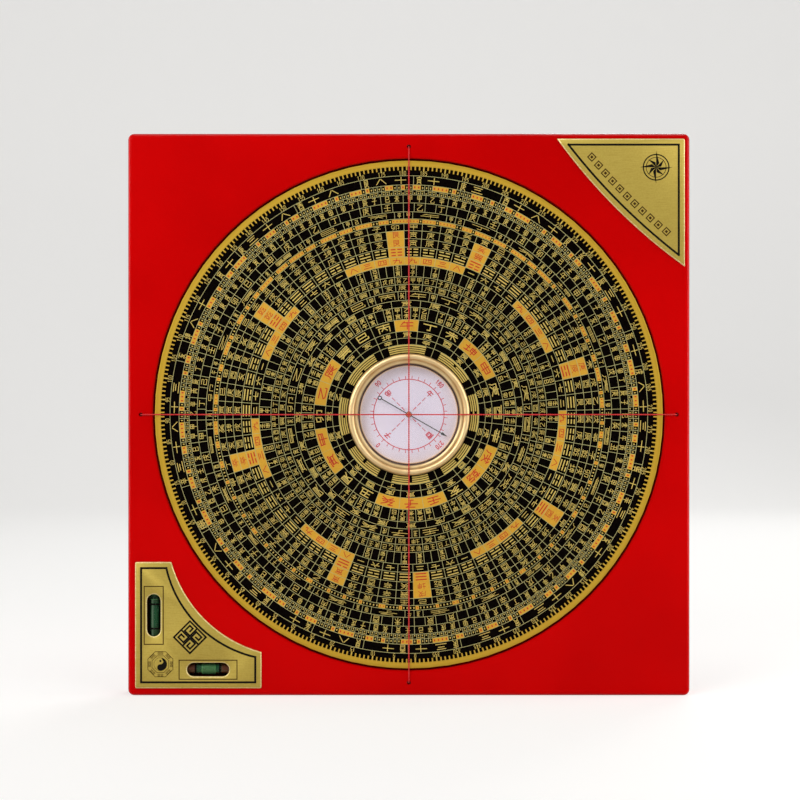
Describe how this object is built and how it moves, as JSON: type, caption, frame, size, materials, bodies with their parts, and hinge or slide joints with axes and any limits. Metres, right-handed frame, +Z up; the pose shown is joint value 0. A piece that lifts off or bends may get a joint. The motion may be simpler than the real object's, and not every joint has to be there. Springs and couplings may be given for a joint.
{
  "type": "feng shui compass",
  "caption": "Square lacquered board with a turning dial, a magnetic compass under glass in its middle, crossed threads, corner plates and spirit vials.",
  "frame": {"origin": "middle of the edge that the board stands on, halfway through the whole depth from the back to the crossing of the threads", "axes": "+X to the right as seen from the front, +Y out of the back, +Z up; the dial's axis runs along Y through z = 0.143"},
  "size_m": [0.286, 0.0256, 0.286],
  "materials": {
    "red_lacquer": "deep gloss red lacquer over wood",
    "dial_black": "printed black on brass sheet, bare gold rim and marks",
    "disc_wood": "plain oiled wood",
    "brass": "satin turned brass",
    "brushed_brass": "brushed brass sheet",
    "clear_glass": "clear",
    "card_white": "matte white card with a red print",
    "steel": "plated",
    "dark_steel": "blued spring steel",
    "red_thread": "twisted nylon thread",
    "green_spirit": "dark green liquid",
    "plug_rubber": "moulded",
    "bush_nylon": "turned nylon",
    "gold_print": "bare gold marks and cells between the dial's black print",
    "red_print": "red ink on the dial and the card",
    "black_print": "black ink filled into the corner plates' engraving"
  },
  "bodies": {
    "base": {"board": "red_lacquer", "bearing_bush": "bush_nylon", "back_cover": "brushed_brass", "cover_screw_1": "steel", "cover_screw_2": "steel", "cover_screw_3": "steel", "cover_screw_4": "steel", "thread_upright": "red_thread", "thread_level": "red_thread", "thread_knot_top": "red_thread", "thread_knot_bottom": "red_thread", "thread_knot_left": "red_thread", "thread_knot_right": "red_thread", "corner_plate_upper": "brushed_brass", "corner_plate_lower": "brushed_brass", "vial_tube_upright": "clear_glass", "vial_spirit_upright": "green_spirit", "vial_plug_upright_start": "plug_rubber", "vial_plug_upright_end": "plug_rubber", "vial_tube_level": "clear_glass", "vial_spirit_level": "green_spirit", "vial_plug_level_start": "plug_rubber", "vial_plug_level_end": "plug_rubber"},
    "dial": {"dial_plate": "dial_black", "dial_disc": "disc_wood", "compass_cup": "brass", "compass_bezel": "brass", "lens_ring": "brass", "compass_glass": "clear_glass", "compass_card": "card_white", "pivot_pin": "steel", "ring_nut": "brass", "retaining_washer": "steel", "retaining_nut": "steel"},
    "needle": {"needle": "dark_steel", "needle_cap": "brass"},
    "bubble_upright": {"vial_bubble_upright": "clear_glass"},
    "bubble_level": {"vial_bubble_level": "clear_glass"}
  },
  "joints": [
    {"name": "dial_turn", "type": "hinge", "parent": "base", "child": "dial", "pos_m": [0, -0.00722, 0.143], "axis": [0, 1, 0], "continuous": true},
    {"name": "needle_swing", "type": "hinge", "parent": "dial", "child": "needle", "pos_m": [0, -0.00722, 0.143], "axis": [0, 1, 0], "continuous": true},
    {"name": "bubble_upright_slide", "type": "slide", "parent": "base", "child": "bubble_upright", "axis": [0, 0, 1], "range_m": [-0.0132, 0], "stiffness_N_per_m": 1, "springref_m": 0.01},
    {"name": "bubble_level_slide", "type": "slide", "parent": "base", "child": "bubble_level", "axis": [1, 0, 0], "range_m": [-0.0066, 0.0066], "stiffness_N_per_m": 1}
  ]
}
